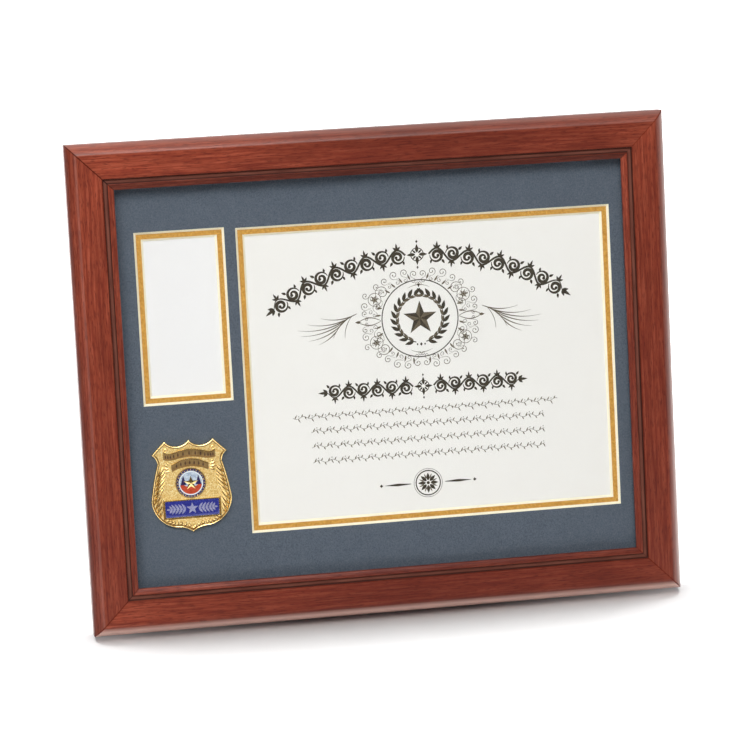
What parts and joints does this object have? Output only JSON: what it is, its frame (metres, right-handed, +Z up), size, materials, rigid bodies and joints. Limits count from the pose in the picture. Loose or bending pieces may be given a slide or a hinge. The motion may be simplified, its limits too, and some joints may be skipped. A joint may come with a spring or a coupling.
{
  "type": "certificate and medal frame",
  "caption": "Wooden table frame on an easel leg: a double mat behind glass shows a certificate, a medal card and a metal shield badge.",
  "frame": {"origin": "on the table, under the middle of the whole object's box", "axes": "+X to the viewer's right along the frame, -Y towards the viewer, +Z up; the face leans back 16 degrees"},
  "size_m": [0.4064, 0.1224, 0.3207],
  "materials": {
    "wood_moulding": "semi-gloss cherry lacquer",
    "steel_hardware": "zinc plated",
    "clear_glass": "clear",
    "black_spacer": "matt",
    "blue_mat": "uncoated, white core",
    "gold_mat": "satin gold, white core",
    "certificate_paper": "matt",
    "card_paper": "matt",
    "linen_tape": "matt",
    "foam_board": "matt",
    "black_board": "hardboard faced with black paper",
    "hinge_steel": "nickel plated",
    "brass_button": "brushed",
    "eyelet_brass": "polished",
    "black_ribbon": "woven",
    "bumper_rubber": "matt",
    "badge_gilt": "gilt",
    "badge_bronze": "toned",
    "navy_enamel": "gloss",
    "white_enamel": "gloss",
    "seal_enamel": "gloss",
    "blue_enamel": "gloss"
  },
  "bodies": {
    "frame": {"bottom_rail": "wood_moulding", "left_rail": "wood_moulding", "top_rail": "wood_moulding", "right_rail": "wood_moulding", "corner_v_nails": "steel_hardware", "hanger_nails": "steel_hardware", "sawtooth_hanger": "steel_hardware", "hinge_pin": "steel_hardware", "hinge_board_rivets": "steel_hardware", "glass_pane": "clear_glass", "spacer_top": "black_spacer", "spacer_bottom": "black_spacer", "spacer_left": "black_spacer", "spacer_right": "black_spacer", "outer_mat": "blue_mat", "inner_mat": "gold_mat", "certificate": "certificate_paper", "medal_card": "card_paper", "mounting_tape": "linen_tape", "filler_board": "foam_board", "back_board": "black_board", "hinge_board_leaf": "hinge_steel", "turn_button_screws": "brass_button", "ribbon_board_eyelet": "eyelet_brass", "easel_ribbon": "black_ribbon", "wall_bumpers": "bumper_rubber", "badge_shield": "badge_gilt", "badge_seal_star": "badge_gilt", "badge_posts": "badge_gilt", "badge_post_nuts": "badge_gilt", "badge_upper_banner": "badge_bronze", "badge_lower_banner": "badge_bronze", "badge_seal_ring": "navy_enamel", "badge_seal_band": "white_enamel", "badge_seal_field": "seal_enamel", "badge_panel": "blue_enamel"},
    "easel": {"easel_leg": "black_board", "hinge_leg_leaf": "hinge_steel", "hinge_leg_rivets": "steel_hardware", "ribbon_leg_eyelet": "eyelet_brass"},
    "turn_button_1": {"turn_button_1": "brass_button"},
    "turn_button_2": {"turn_button_2": "brass_button"},
    "turn_button_3": {"turn_button_3": "brass_button"},
    "turn_button_4": {"turn_button_4": "brass_button"},
    "turn_button_5": {"turn_button_5": "brass_button"},
    "turn_button_6": {"turn_button_6": "brass_button"}
  },
  "joints": [
    {"name": "easel_leg_fold", "type": "hinge", "parent": "frame", "child": "easel", "pos_m": [0, 0.01651, 0.20606], "axis": [1, 0, 0], "range_deg": [-26.8, 0], "deforming": ["easel_ribbon"]},
    {"name": "turn_button_1_swivel", "type": "hinge", "parent": "frame", "child": "turn_button_1", "pos_m": [-0.11, -0.0399, 0.0173], "axis": [0, 0.9613, -0.2756], "continuous": true},
    {"name": "turn_button_2_swivel", "type": "hinge", "parent": "frame", "child": "turn_button_2", "pos_m": [0.11, -0.0399, 0.0173], "axis": [0, 0.9613, -0.2756], "continuous": true},
    {"name": "turn_button_3_swivel", "type": "hinge", "parent": "frame", "child": "turn_button_3", "pos_m": [-0.11, 0.04119, 0.30011], "axis": [0, 0.9613, -0.2756], "continuous": true},
    {"name": "turn_button_4_swivel", "type": "hinge", "parent": "frame", "child": "turn_button_4", "pos_m": [0.11, 0.04119, 0.30011], "axis": [0, 0.9613, -0.2756], "continuous": true},
    {"name": "turn_button_5_swivel", "type": "hinge", "parent": "frame", "child": "turn_button_5", "pos_m": [-0.1852, 0.00064, 0.1587], "axis": [0, 0.9613, -0.2756], "continuous": true},
    {"name": "turn_button_6_swivel", "type": "hinge", "parent": "frame", "child": "turn_button_6", "pos_m": [0.1852, 0.00064, 0.1587], "axis": [0, 0.9613, -0.2756], "continuous": true}
  ]
}
